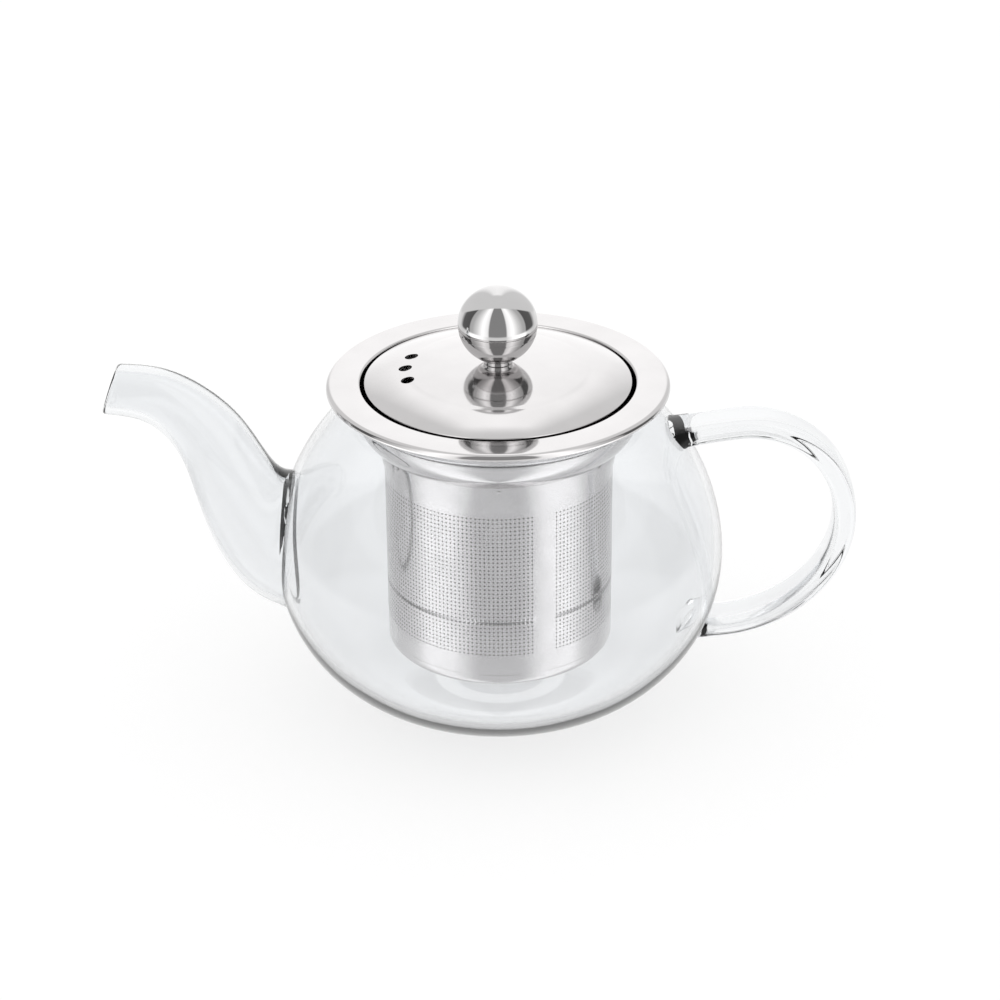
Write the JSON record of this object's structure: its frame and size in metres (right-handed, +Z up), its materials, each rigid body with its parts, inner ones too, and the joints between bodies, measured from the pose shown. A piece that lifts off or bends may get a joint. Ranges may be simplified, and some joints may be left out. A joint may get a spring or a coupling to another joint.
{
  "type": "glass teapot",
  "caption": "Round glass teapot with a curved spout, a flat glass strap handle, a lift-out perforated steel infuser and a domed steel lid with a ball knob.",
  "frame": {"origin": "centre of the foot, on the plane that the pot stands on", "axes": "+Z up along the pot's axis, +X towards the handle, -X towards the spout; the XZ plane is the plane of symmetry"},
  "size_m": [0.1746, 0.1046, 0.1031],
  "materials": {
    "clear_glass": "clear blown borosilicate, fire polished",
    "polished_steel": "polished stainless sheet",
    "mirror_steel": "mirror polished stainless",
    "satin_steel": "satin stainless sheet"
  },
  "bodies": {
    "glass_pot": {"glass_bowl": "clear_glass", "glass_shoulder": "clear_glass", "glass_spout": "clear_glass", "glass_handle": "clear_glass"},
    "infuser": {"infuser_flange": "polished_steel", "infuser_wall": "satin_steel", "infuser_base": "satin_steel"},
    "lid": {"lid_dome": "polished_steel", "lid_skirt": "satin_steel", "knob_upper_shell": "mirror_steel", "knob_lower_shell": "mirror_steel", "knob_stem": "mirror_steel", "knob_washer": "satin_steel", "knob_screw": "satin_steel"}
  },
  "joints": [
    {"name": "infuser_lift", "type": "slide", "parent": "glass_pot", "child": "infuser", "axis": [0, 0, 1], "range_m": [0, 0.08]},
    {"name": "lid_lift", "type": "slide", "parent": "infuser", "child": "lid", "axis": [0, 0, 1], "range_m": [0, 0.04]}
  ]
}
